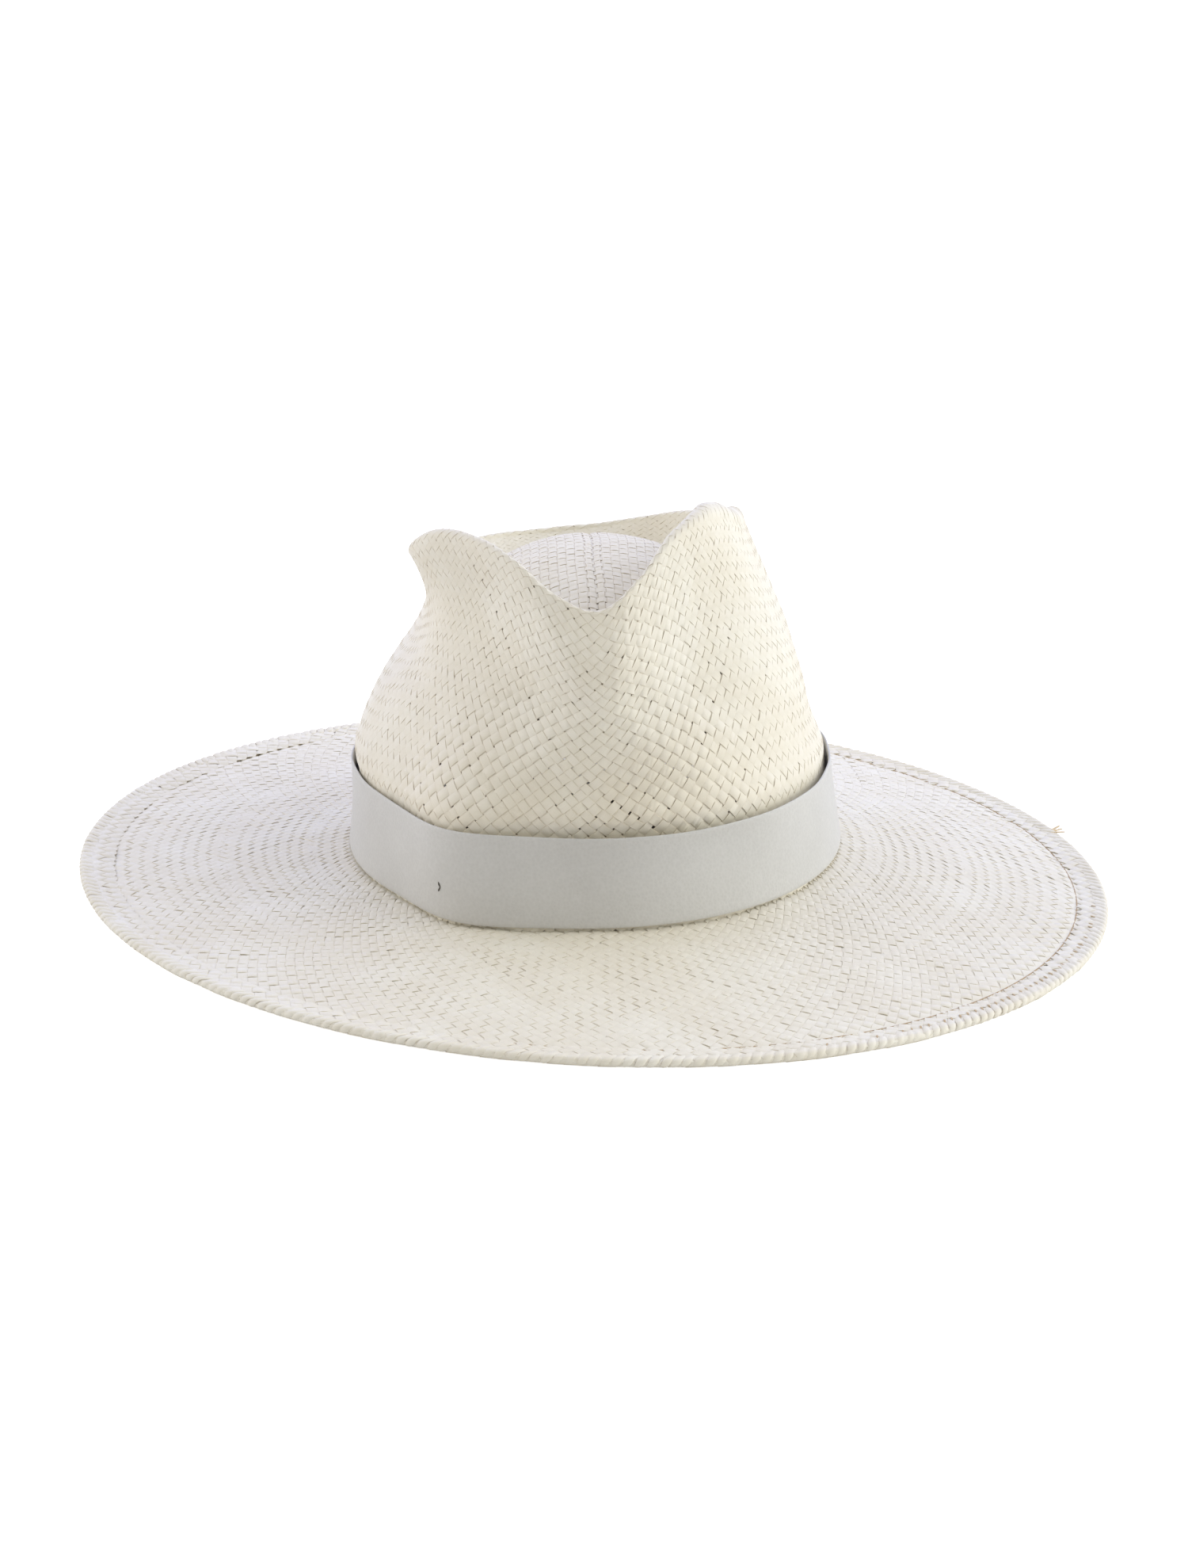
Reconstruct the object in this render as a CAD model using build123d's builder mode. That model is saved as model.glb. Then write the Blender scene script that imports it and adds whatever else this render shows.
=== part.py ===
"""Wide-brim panama hat, woven in one straw body, with a leather band, a sweatband and a wired hem.

Millimetres. Z is up, the front of the hat faces -Y, and the origin is the centre of the head opening
in the plane the brim rests on. The crown stands on its own plane, which leans a little to -X.
Angles round the crown are measured from the front, positive towards +X.
"""

from build123d import *

import os
from bisect import bisect_right
from math import cos, exp, hypot, pi, radians, sin

# Brim
BRIM_HALF_WIDTH = 183.0
BRIM_HALF_LENGTH = 199.5
STRAW = 1.2
HEM_WIDTH = 11.0
HEM_THICKNESS = 3.2
HEM_OVERLAP = 6.0
BRIM_EDGE_TOP = 1.8
TUNNEL_RADIUS = 1.0
WIRE_RADIUS = 0.6
WIRE_INSET = 2.1
SLEEVE_RADIUS = 0.95
SLEEVE_HALF_ANGLE = 4.0
WIRE_END_GAP = 0.6

# Crown plane
BASE_HEIGHT = 14.0
LEAN = 3.2
CROWN_TOP = 138.0
OPENING_ABOVE = 10.0
OPENING_DEPTH = 50.0

# How far the crown's wall stands from its axis at each height, on its four sides
REACH_LEFT = [(0, 86.4), (15, 84.6), (30, 84.2), (37, 85.2), (48, 81.9), (62, 76.0), (76, 67.2), (90, 62.5),
              (104, 61.3), (118, 62.4), (138, 56.0)]
REACH_RIGHT = [(0, 86.0), (15, 83.6), (30, 81.3), (37, 80.6), (48, 76.4), (62, 73.0), (76, 69.3), (90, 64.1),
               (104, 58.4), (118, 52.8), (138, 46.0)]
REACH_FRONT = [(0, 103.5), (15, 101.0), (33, 97.0), (60, 92.0), (88, 86.0), (105, 77.0), (138, 66.0)]
REACH_BACK = [(0, 103.5), (15, 101.5), (33, 100.0), (60, 97.0), (90, 88.0), (105, 82.0), (138, 68.0)]

# Hand-shaped dents (-) and bulges (+): angle, height, spread in degrees, spread in height, amount
FORMS = [
    (-40, 92, 18, 26, -8.0),
    (34, 92, 16, 28, -7.0),
    (-88, 80, 22, 14, -5.0),
    (-86, 112, 24, 9, 4.0),
    (-76, 118, 14, 9, 1.5),
    (-26, 4, 9, 18, 5.5),
    (-32, 34, 9, 22, 6.0),
    (-17, 87, 7, 15, -5.0),
    (15, 85, 6.5, 15, -5.0),
    (6, 51, 27, 13, 3.5),
    (50, 62, 20, 13, 2.5),
]

# Height of the pinched rim round the crown
RIM = [(0, 104.1), (12, 113.9), (25, 124.7), (45, 129.4), (60, 128.2), (75, 123.6), (95, 119.5), (120, 113.1),
       (150, 104.0), (180, 94.0), (210, 95.2), (240, 99.2), (262, 104.4), (280, 112.8), (297, 121.2),
       (315, 122.8), (335, 118.6), (348, 109.4)]
WELL_SLOPE = 14.0
WELL_OVERRUN = 5.0
CHANNEL_HEIGHT = 86.0
WELL_HEIGHTS = [CHANNEL_HEIGHT - STRAW, CHANNEL_HEIGHT, 92, 98, 104, 110, 116, 122, 128, 134, 142]
DOME_X = -3.0
DOME_Y = 4.0
DOME_HALF_WIDTH = 46.0
DOME_HALF_LENGTH = 62.0
DOME_RISE = 20.5

SECTION_HEIGHTS = [0, 3, 8, 15, 24, 33, 41, 48, 55, 62, 69, 76, 83, 90, 97, 104, 111, 118, 128, CROWN_TOP]
FOOT_SECTIONS = [0, 3, 8, 15, 24, 33, 41, 48]
SECTION_POINTS = 36

# Side of the blocks that trim a piece, larger than the crown
TRIM_BLOCK = 300.0

# Leather band
BAND_BOTTOM = 1.5
BAND_HEIGHT = 31.0
BAND_GAP = 0.4
BAND_LEATHER = 1.1
BAND_MIDDLE = BAND_BOTTOM + BAND_HEIGHT / 2
BAND_JOIN_ANGLE = -100.0
BAND_END_GAP = 0.3
JOIN_CUT_DEPTH = 12.0
JOIN_STITCH_HEIGHTS = [6, 12, 18, 24]
JOIN_STITCH_LENGTH = 4.0
STITCH_LIFT = 0.45
STITCH_THICKNESS = 0.5
TACK_WIDTH = 0.6
TACK_LENGTH = 2.6
TACK_PLACES = {"band_tack_left": (-33.5, 12.0), "band_tack_back": (165.0, 16.0)}

# Sweatband
SWEAT_BOTTOM = 2.2
SWEAT_HEIGHT = 30.0
SWEAT_GAP = 0.5
SWEAT_LEATHER = 0.8
SWEAT_END_GAP = 0.4
SWEAT_MIDDLE = SWEAT_BOTTOM + SWEAT_HEIGHT / 2
SWEAT_OUTSIDE = -STRAW - SWEAT_GAP
REED_RADIUS = 0.8
REED_HEIGHT = 1.2
REED_OFFSET = -2.4
SWEAT_THREAD_HEIGHT = 5.0
TAPE_THICKNESS = 0.4
TAPE_MIDDLE = 19.0
TAPE_WIDTH = 12.0
TAPE_HEIGHT = 22.0
LABEL_ANGLE = 150.0
LABEL_WIDTH = 22.0
LABEL_HEIGHT = 12.0
BOW_LOOP_CENTRE = 4.2
BOW_LOOP_HALF_LENGTH = 3.6
BOW_LOOP_HALF_HEIGHT = 2.6
BOW_RIBBON = 0.8
BOW_KNOT_WIDTH = 2.6
BOW_KNOT_HEIGHT = 3.2
BOW_THICKNESS = 1.0
BOW_STAND_OFF = 0.6
THREAD_RADIUS = 0.3
CLEAR = 0.08

crown_plane = Plane(
    origin=(0, 0, BASE_HEIGHT),
    x_dir=(cos(radians(LEAN)), 0, sin(radians(LEAN))),
    z_dir=(-sin(radians(LEAN)), 0, cos(radians(LEAN))),
)


def smooth_value(table, x):
    """Value at x on a smooth curve through the (x, value) pairs of the table."""
    x = min(max(x, table[0][0]), table[-1][0])
    i = min(bisect_right([p[0] for p in table], x), len(table) - 1) - 1
    before, after = table[max(i - 1, 0)], table[min(i + 2, len(table) - 1)]
    here, there = table[i], table[i + 1]
    span = there[0] - here[0]
    slope_here = (there[1] - before[1]) / (there[0] - before[0]) * span
    slope_there = (after[1] - here[1]) / (after[0] - here[0]) * span
    t = (x - here[0]) / span
    start = here[1] * (1 + 2 * t) * (1 - t) ** 2 + slope_here * t * (1 - t) ** 2
    end = there[1] * t * t * (3 - 2 * t) + slope_there * t * t * (t - 1)
    return start + end


def rim_height(angle):
    """Height of the rim above the crown plane at an angle round the crown."""
    turn = [(a - 360, h) for a, h in RIM] + RIM + [(a + 360, h) for a, h in RIM]
    return smooth_value(turn, angle % 360)


def form(angle, height):
    """Sum of the dents and bulges at a place on the crown's wall."""
    total = 0.0
    for centre, level, spread, rise, amount in FORMS:
        off = (angle - centre + 180) % 360 - 180
        total += amount * exp(-((off / spread) ** 2) / 2 - ((height - level) / rise) ** 2 / 2)
    return total


def wall_radius(angle, height):
    """Distance from the crown's axis to the outside of its wall."""
    across, ahead = sin(radians(angle)), cos(radians(angle))
    side = smooth_value(REACH_RIGHT if across >= 0 else REACH_LEFT, height)
    end = smooth_value(REACH_FRONT if ahead >= 0 else REACH_BACK, height)
    return 1 / hypot(across / side, ahead / end) + form(angle, height)


def wall_point(angle, height, offset=0.0):
    """Plan point on the wall, moved out by the offset."""
    radius = wall_radius(angle, height) + offset
    return (radius * sin(radians(angle)), -radius * cos(radians(angle)))


def section_points(height, offset=0.0):
    """Closed ring of plan points round the crown at one height."""
    return [wall_point(360 * i / SECTION_POINTS, height, offset) for i in range(SECTION_POINTS)]


def well_radius(angle, height):
    """Distance from the axis to the side of the hollow, which meets the crown's wall at the rim."""
    rim = rim_height(angle)
    inward = WELL_SLOPE * (rim - height) / (rim - CHANNEL_HEIGHT)
    return wall_radius(angle, height) - max(inward, -WELL_OVERRUN)


def well_points(height, offset=0.0):
    """Closed ring of plan points round the hollow at one height."""
    ring = []
    for i in range(SECTION_POINTS):
        angle = 360 * i / SECTION_POINTS
        radius = well_radius(angle, height) + offset
        ring.append((radius * sin(radians(angle)), -radius * cos(radians(angle))))
    return ring


def crown_section(ring, height, offset=0.0):
    """Face on the crown plane inside a ring of points, raised to one height."""
    with BuildSketch(crown_plane.offset(height)) as section:
        with BuildLine():
            Spline(*ring(height, offset), periodic=True)
        make_face()
    return section.sketch


def crown_sections(ring, heights, offset=0.0):
    """Faces inside the rings of points at each height, ready to loft."""
    return [crown_section(ring, height, offset) for height in heights]


def brim_section(inset, height):
    """Level face inside the brim's outline, moved in."""
    with BuildSketch(Plane.XY.offset(height)) as section:
        with BuildLine():
            Spline(*oval_points(inset), periodic=True)
        make_face()
    return section.sketch


def on_wall(angle, height, offset):
    """Place on the wall at an angle and height, with +Y pointing outwards."""
    x, y = wall_point(angle, height, offset)
    return crown_plane.location * Pos(x, y, height) * Rot(0, 0, angle + 180)


def dome(inset):
    """Ellipsoid that makes the dome in the top of the crown, smaller by the inset."""
    ball = scale(Sphere(1), by=(DOME_HALF_WIDTH - inset, DOME_HALF_LENGTH - inset, DOME_RISE - inset))
    return crown_plane.location * Pos(DOME_X, DOME_Y, CHANNEL_HEIGHT) * ball


def oval(inset):
    """Half width and half length of the brim's outline, moved in."""
    return BRIM_HALF_WIDTH - inset, BRIM_HALF_LENGTH - inset


def oval_points(inset):
    """Ring of plan points on the brim's oval that match the crown's section points."""
    half_width, half_length = oval(inset)
    turns = [2 * pi * i / SECTION_POINTS for i in range(SECTION_POINTS)]
    return [(half_width * sin(turn), -half_length * cos(turn)) for turn in turns]


upper_centre = Pos(0, 0, CHANNEL_HEIGHT - STRAW + TRIM_BLOCK / 2)
upper_half = crown_plane.location * upper_centre * Box(TRIM_BLOCK, TRIM_BLOCK, TRIM_BLOCK)
dome_outside = dome(0)
dome_shell = (dome_outside - dome(STRAW)) & upper_half

# Crown filled solid, with no hollow in its top
with BuildPart() as crown_block:
    loft(crown_sections(section_points, SECTION_HEIGHTS))

# Hollow in the crown's top, inside the rim
with BuildPart() as well:
    loft(crown_sections(well_points, WELL_HEIGHTS))

# Straw that lines the hollow's side, up to the rim
with BuildPart() as well_side:
    loft(crown_sections(well_points, WELL_HEIGHTS, STRAW))
    add(well.part, mode=Mode.SUBTRACT)
    add(crown_block.part, mode=Mode.INTERSECT)

# Dome that stands in the hollow, and the channel floor round it
with BuildPart() as channel_and_dome:
    with BuildSketch(crown_plane.offset(CHANNEL_HEIGHT - STRAW)):
        with BuildLine():
            Spline(*well_points(CHANNEL_HEIGHT, STRAW / 2), periodic=True)
        make_face()
    extrude(amount=STRAW)
    add(dome_outside, mode=Mode.SUBTRACT)
    add(dome_shell)

# Space under the brim
with BuildPart() as brim_room:
    hem_side = brim_section(HEM_WIDTH - HEM_OVERLAP, BRIM_EDGE_TOP - STRAW)
    loft([hem_side, crown_section(section_points, -STRAW)], ruled=True)

# Path of the wire round the brim, inside the folded hem
with BuildLine(Plane.XY.offset(HEM_THICKNESS / 2)) as tunnel_path:
    Spline(*oval_points(WIRE_INSET), periodic=True)
with BuildPart() as wire_tunnel:
    with BuildSketch(Plane(origin=tunnel_path.line @ 0, z_dir=tunnel_path.line % 0)):
        Circle(TUNNEL_RADIUS)
    sweep(path=tunnel_path.line)

# Brim, from the foot of the crown to the folded hem
with BuildPart() as brim:
    hem_side = brim_section(HEM_WIDTH - HEM_OVERLAP, BRIM_EDGE_TOP)
    loft([hem_side, crown_section(section_points, 0)], ruled=True)
    add(brim_room.part, mode=Mode.SUBTRACT)
    with BuildSketch():
        Ellipse(*oval(0))
        Ellipse(*oval(HEM_WIDTH), mode=Mode.SUBTRACT)
    extrude(amount=HEM_THICKNESS)
    with BuildSketch(crown_plane.offset(OPENING_ABOVE)):
        with BuildLine():
            Spline(*section_points(0, -STRAW), periodic=True)
        make_face()
    extrude(amount=-OPENING_DEPTH, mode=Mode.SUBTRACT)
    add(wire_tunnel.part, mode=Mode.SUBTRACT)

# Crown and brim, woven in one
with BuildPart() as straw_body:
    add(crown_block.part)
    loft(crown_sections(section_points, SECTION_HEIGHTS, -STRAW), mode=Mode.SUBTRACT)
    add(well.part, mode=Mode.SUBTRACT)
    add(well_side.part)
    add(channel_and_dome.part)
    add(brim.part)
straw_body.part.label = "straw_body"

# Stiffening wire, one turn with its ends meeting at the back
wire_span = {"start_angle": 90 + WIRE_END_GAP / 2, "arc_size": 360 - WIRE_END_GAP}
with BuildLine(Plane.XY.offset(HEM_THICKNESS / 2)) as wire_path:
    EllipticalCenterArc((0, 0), *oval(WIRE_INSET), **wire_span)
with BuildPart() as brim_wire:
    with BuildSketch(Plane(origin=wire_path.line @ 0, z_dir=wire_path.line % 0)):
        Circle(WIRE_RADIUS)
    sweep(path=wire_path.line)
brim_wire.part.label = "brim_wire"

# Sleeve crimped over the ends of the wire
sleeve_span = {"start_angle": 90 - SLEEVE_HALF_ANGLE, "arc_size": 2 * SLEEVE_HALF_ANGLE}
with BuildLine(Plane.XY.offset(HEM_THICKNESS / 2)) as sleeve_path:
    EllipticalCenterArc((0, 0), *oval(WIRE_INSET), **sleeve_span)
with BuildPart() as brim_wire_sleeve:
    with BuildSketch(Plane(origin=sleeve_path.line @ 0, z_dir=sleeve_path.line % 0)):
        Circle(SLEEVE_RADIUS)
        Circle(WIRE_RADIUS + CLEAR, mode=Mode.SUBTRACT)
    sweep(path=sleeve_path.line)
brim_wire_sleeve.part.label = "brim_wire_sleeve"

# Row of sewing that holds the folded hem down
with BuildLine(Plane.XY.offset(HEM_THICKNESS + THREAD_RADIUS + CLEAR)) as hem_path:
    Spline(*oval_points(HEM_WIDTH - 2 * THREAD_RADIUS), periodic=True)
with BuildPart() as hem_thread:
    with BuildSketch(Plane(origin=hem_path.line @ 0, z_dir=hem_path.line % 0)):
        Circle(THREAD_RADIUS)
    sweep(path=hem_path.line)
hem_thread.part.label = "hem_thread"

# Leather band round the foot of the crown, its ends meeting on the left
with BuildPart() as hat_band:
    loft(crown_sections(section_points, FOOT_SECTIONS, BAND_GAP + BAND_LEATHER))
    loft(crown_sections(section_points, FOOT_SECTIONS, BAND_GAP), mode=Mode.SUBTRACT)
    with Locations(crown_plane.location * Pos(0, 0, BAND_MIDDLE)):
        Box(TRIM_BLOCK, TRIM_BLOCK, BAND_HEIGHT, mode=Mode.INTERSECT)
    with Locations(on_wall(BAND_JOIN_ANGLE, BAND_MIDDLE, 0)):
        Box(BAND_END_GAP, JOIN_CUT_DEPTH, 2 * BAND_HEIGHT, mode=Mode.SUBTRACT)
hat_band.part.label = "hat_band"

# Stitches across the meeting ends of the band
band_face = BAND_GAP + BAND_LEATHER + STITCH_LIFT
with BuildPart() as band_join_stitches:
    for height in JOIN_STITCH_HEIGHTS:
        with Locations(on_wall(BAND_JOIN_ANGLE, height, band_face)):
            Box(JOIN_STITCH_LENGTH, STITCH_THICKNESS, STITCH_THICKNESS)
band_join_stitches.part.label = "band_join_stitches"

# Thread tacks that stop the band from turning
tacks = []
for name, (angle, height) in TACK_PLACES.items():
    with BuildPart() as tack:
        with Locations(on_wall(angle, height, band_face)):
            Box(TACK_WIDTH, STITCH_THICKNESS, TACK_LENGTH)
    tack.part.label = name
    tacks.append(tack.part)

# Sweatband inside the foot of the crown, its ends meeting at the back
with BuildPart() as sweatband:
    loft(crown_sections(section_points, FOOT_SECTIONS, SWEAT_OUTSIDE))
    loft(crown_sections(section_points, FOOT_SECTIONS, SWEAT_OUTSIDE - SWEAT_LEATHER), mode=Mode.SUBTRACT)
    with Locations(crown_plane.location * Pos(0, 0, SWEAT_MIDDLE)):
        Box(TRIM_BLOCK, TRIM_BLOCK, SWEAT_HEIGHT, mode=Mode.INTERSECT)
    with Locations(on_wall(180, SWEAT_MIDDLE, -STRAW)):
        Box(SWEAT_END_GAP, JOIN_CUT_DEPTH, 2 * SWEAT_HEIGHT, mode=Mode.SUBTRACT)
sweatband.part.label = "sweatband"
sweat_face = SWEAT_OUTSIDE - SWEAT_LEATHER - CLEAR

# Reed along the sweatband's lower edge
with BuildLine(crown_plane.offset(REED_HEIGHT)) as reed_path:
    Spline(*section_points(REED_HEIGHT, REED_OFFSET), periodic=True)
with BuildPart() as sweatband_reed:
    with BuildSketch(Plane(origin=reed_path.line @ 0, z_dir=reed_path.line % 0)):
        Circle(REED_RADIUS)
    sweep(path=reed_path.line)
sweatband_reed.part.label = "sweatband_reed"

# Sewing that holds the sweatband to the reed and the straw
with BuildLine(crown_plane.offset(SWEAT_THREAD_HEIGHT)) as sweat_thread_path:
    Spline(*section_points(SWEAT_THREAD_HEIGHT, sweat_face - THREAD_RADIUS - CLEAR), periodic=True)
with BuildPart() as sweatband_thread:
    with BuildSketch(Plane(origin=sweat_thread_path.line @ 0, z_dir=sweat_thread_path.line % 0)):
        Circle(THREAD_RADIUS)
    sweep(path=sweat_thread_path.line)
sweatband_thread.part.label = "sweatband_thread"

# Thin layer against the sweatband's inner face, from which the tape and the label are cut
with BuildPart() as inner_layer:
    loft(crown_sections(section_points, FOOT_SECTIONS, sweat_face))
    loft(crown_sections(section_points, FOOT_SECTIONS, sweat_face - TAPE_THICKNESS), mode=Mode.SUBTRACT)

# Tape over the sweatband's join
with BuildPart() as sweatband_back_tape:
    add(inner_layer.part)
    with Locations(on_wall(180, TAPE_MIDDLE, 0)):
        Box(TAPE_WIDTH, JOIN_CUT_DEPTH, TAPE_HEIGHT, mode=Mode.INTERSECT)
sweatband_back_tape.part.label = "sweatband_back_tape"

# Blank size label
with BuildPart() as size_label:
    add(inner_layer.part)
    with Locations(on_wall(LABEL_ANGLE, TAPE_MIDDLE, 0)):
        Box(LABEL_WIDTH, JOIN_CUT_DEPTH, LABEL_HEIGHT, mode=Mode.INTERSECT)
size_label.part.label = "size_label"

# Small ribbon bow sewn on the tape
bow_place = on_wall(180, TAPE_MIDDLE, sweat_face - TAPE_THICKNESS - CLEAR)
bow_plane = Plane(bow_place * Pos(0, -BOW_STAND_OFF, 0) * Rot(90, 0, 0))
with BuildPart() as sweatband_bow:
    with BuildSketch(bow_plane):
        with Locations((-BOW_LOOP_CENTRE, 0), (BOW_LOOP_CENTRE, 0)):
            Ellipse(BOW_LOOP_HALF_LENGTH, BOW_LOOP_HALF_HEIGHT)
            Ellipse(BOW_LOOP_HALF_LENGTH - BOW_RIBBON, BOW_LOOP_HALF_HEIGHT - BOW_RIBBON, mode=Mode.SUBTRACT)
        Rectangle(BOW_KNOT_WIDTH, BOW_KNOT_HEIGHT)
    extrude(amount=BOW_THICKNESS)
sweatband_bow.part.label = "sweatband_bow"

pieces = [
    straw_body.part,
    brim_wire.part,
    brim_wire_sleeve.part,
    hem_thread.part,
    hat_band.part,
    band_join_stitches.part,
    *tacks,
    sweatband.part,
    sweatband_reed.part,
    sweatband_thread.part,
    sweatband_back_tape.part,
    size_label.part,
    sweatband_bow.part,
]
os.makedirs("parts", exist_ok=True)
for piece in pieces:
    export_step(piece, f"parts/{piece.label}.step")
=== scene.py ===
"""Looks of a woven panama hat, built round its CAD frame.

Lengths are millimetres here and metres in Blender. The front of the hat faces -Y. The crown stands on its
own plane, which leans to -X, and angles round it are measured from the front, positive towards +X. The straw
is woven for real: each straw is a closed strip that runs over and under the strips it crosses.
"""

from math import cos, pi, radians, sin

import bpy
import numpy as np
from mathutils import Matrix, Vector


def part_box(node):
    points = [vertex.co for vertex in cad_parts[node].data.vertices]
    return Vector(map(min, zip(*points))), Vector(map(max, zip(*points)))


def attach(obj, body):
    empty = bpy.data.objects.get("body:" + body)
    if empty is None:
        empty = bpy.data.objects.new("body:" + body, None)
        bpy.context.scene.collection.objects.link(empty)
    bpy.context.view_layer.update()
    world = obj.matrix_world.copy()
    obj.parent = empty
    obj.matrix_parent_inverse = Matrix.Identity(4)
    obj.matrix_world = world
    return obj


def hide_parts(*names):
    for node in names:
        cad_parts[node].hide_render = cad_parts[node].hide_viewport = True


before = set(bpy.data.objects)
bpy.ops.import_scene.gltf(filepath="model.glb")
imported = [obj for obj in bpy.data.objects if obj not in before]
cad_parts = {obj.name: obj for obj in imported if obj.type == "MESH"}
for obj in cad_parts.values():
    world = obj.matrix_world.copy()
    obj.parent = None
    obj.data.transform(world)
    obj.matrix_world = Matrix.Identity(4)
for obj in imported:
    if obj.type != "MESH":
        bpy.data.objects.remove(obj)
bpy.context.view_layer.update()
rng = np.random.default_rng(11)
MM = 0.001

# Crown: its plane's height and lean, and how far its wall reaches to each side at each height
BASE_HEIGHT = 14.0
LEAN = radians(3.2)
REACH_LEFT = [(0, 86.4), (15, 84.6), (30, 84.2), (37, 85.2), (48, 81.9), (62, 76.0), (76, 67.2), (90, 62.5),
              (104, 61.3), (118, 62.4), (138, 56.0)]
REACH_RIGHT = [(0, 86.0), (15, 83.6), (30, 81.3), (37, 80.6), (48, 76.4), (62, 73.0), (76, 69.3), (90, 64.1),
               (104, 58.4), (118, 52.8), (138, 46.0)]
REACH_FRONT = [(0, 103.5), (15, 101.0), (33, 97.0), (60, 92.0), (88, 86.0), (105, 77.0), (138, 66.0)]
REACH_BACK = [(0, 103.5), (15, 101.5), (33, 100.0), (60, 97.0), (90, 88.0), (105, 82.0), (138, 68.0)]
# Dents (-) and bulges (+): angle, height, spread in degrees, spread in height, amount
FORMS = [(-88, 80, 22, 14, -5.0), (-86, 112, 24, 9, 4.0), (-76, 118, 14, 9, 1.5), (-26, 4, 9, 18, 5.5),
         (-32, 34, 9, 22, 6.0), (6, 51, 27, 13, 2.5), (50, 62, 20, 13, 2.5), (4, 38.5, 32, 3.5, 1.8)]
# Finger pinches beside the front ridge: side, angle where the crease starts, its turn per mm above and below
# the apex, reach in degrees, depth
PINCHES = [(-1, 1.0, 0.45, 0.75, 24.0, 9.3), (1, 3.0, 0.10, 0.75, 22.0, 8.0)]
CREASE_ROUNDING = 0.004
APEX_HEIGHT = 74.0
PINCH_LEVEL = 91.0
PINCH_RISE = 24.0
# Height of the rim at each angle
RIM = [(0, 104.1), (12, 113.9), (25, 124.7), (45, 129.4), (60, 128.2), (75, 123.6), (95, 119.5),
       (120, 113.1), (150, 104.0), (180, 94.0), (210, 95.2), (240, 99.2), (262, 104.4), (280, 112.8),
       (297, 121.2), (315, 122.8), (335, 118.6), (348, 109.4)]
CHANNEL_HEIGHT = 86.0
WELL_SLOPE = 14.0
LIP_RADIUS = [(-180, 1.2), (-110, 1.5), (-72, 3.0), (-45, 2.2), (-15, 1.2), (12, 1.2), (40, 3.6), (60, 6.0),
              (82, 6.0), (105, 2.5), (130, 1.4), (180, 1.2)]
DOME_RISE = 20.5
DOME_POWER = 2.4
# Groove of the seam along the top of the dome
SEAM_DEPTH = 0.6
SEAM_SPREAD = 1.3

# Straw; widths are shares of the straws' spacing
UNEVENNESS = 0.09
SHEET_INSET = 0.55
STRAW_HALF_THICKNESS = 0.15
STATIONS_PER_ROW = 8
SPACING_JITTER = 0.055
WIDTH_JITTER = 0.025
TINT_SPREAD = 2.2
CROWN_STRAWS = 112
# Where the wall ends and the lip ends, as shares of the way from the crown's foot to its hollow
CROWN_SHARES = (0.76, 0.79)
LIP_PLACE = sum(CROWN_SHARES) / 2
LIP_SPREAD = 0.02
# Waves and widths of the crown's straws, and how far both change where the pinch opens the weave
CROWN_LIFT = 0.07
CROWN_OPEN_LIFT = 0.18
CROWN_WIDTH = 1.01
CROWN_OPENING = 0.09
DOME_PITCH = 3.1
DOME_REACH = 82
DOME_ROWS = int(DOME_REACH / DOME_PITCH)
DOME_OVERHANG = 1.015
DOME_LIFT = 0.19
DOME_WIDTH = 0.97
SEAM_WIDTH = 0.75
FEWEST_STATIONS = 6
BRIM_LIFT = 0.19
BRIM_WIDTH = 0.99

# Brim
BRIM_REACH = 97.0
HEM_WIDTH = 11.0
HEM_TOP = 2.75
HEM_UNDER = 0.55
BRIM_AT_HEM = 1.6
BRIM_SAG = 0.25
# How far inside the hem the brim starts to sink under it
SINK_LEAD = 4
FOLD_PLACE = BRIM_REACH + 2
FOLD_SPREAD = 4.0
ZONE_TUCK = 0.42
# Rings of the brim's weave: straws, where each starts and ends on the sheet, how far its ends are tucked in.
# The sheet's normal points down on the flat brim and up on the folded hem, so the tucks have signs.
BRIM_ZONES = [(143, 0.0, 18.5, (0.0, -ZONE_TUCK)), (172, 12.5, 51.0, (-ZONE_TUCK, -ZONE_TUCK)),
              (204, 45.0, 111.0, (-ZONE_TUCK, ZONE_TUCK))]
# Short straws laid round the brim's edge: how many spacings each turns by, where it starts and ends past the
# brim's flat part, how far it rises and how far its ends are sunk
EDGE_STRAWS = 304
EDGE_TURN = 1.2
EDGE_REACH = (0.2, 7.0)
EDGE_RISE = 0.42
EDGE_SUNK = 0.16
EDGE_HALF_THICKNESS = 0.40
# Angle of the frayed straw end
LOOSE_END = 108.5

# Sewing, and painted shade on the hem
UP = (0.0, 0.0, 1.0)
THREAD_SIDES = 8
# The brown cord is partly the hem's sewing and partly painted shade of its step
# Cord along the step of the hem, and how far it lies from the end of the flat hem and over the sheet
CORD_SIDES = 6
CORD_RADIUS = 0.24
CORD_FROM_END = 1.3
CORD_LIFT = 0.34
# Painted shade in the gaps of the hem's folded straws; most within a spread of degrees round a middle angle
GAP_SHADE_HALF_LENGTH = 1.2
GAP_SHADE_HALF_WIDTH = 0.30
GAP_SHADE_HALF_THICKNESS = 0.08
GAP_SHADE_LIFT = 0.45
GAP_SHADE_MIDDLE = 54
GAP_SHADE_SPREAD = 28
# Stitches in leather: how deep their ends are sunk and how far their middles arch above the ends
SUNK_END = 0.2
SUNK_ARCH = 0.42

# Leather
BAND_BOTTOM = 1.5
BAND_TOP = 32.5
BAND_LEATHER = 1.1
BAND_JOIN = -100.0
BAND_CLEARANCE = 0.45
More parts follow.
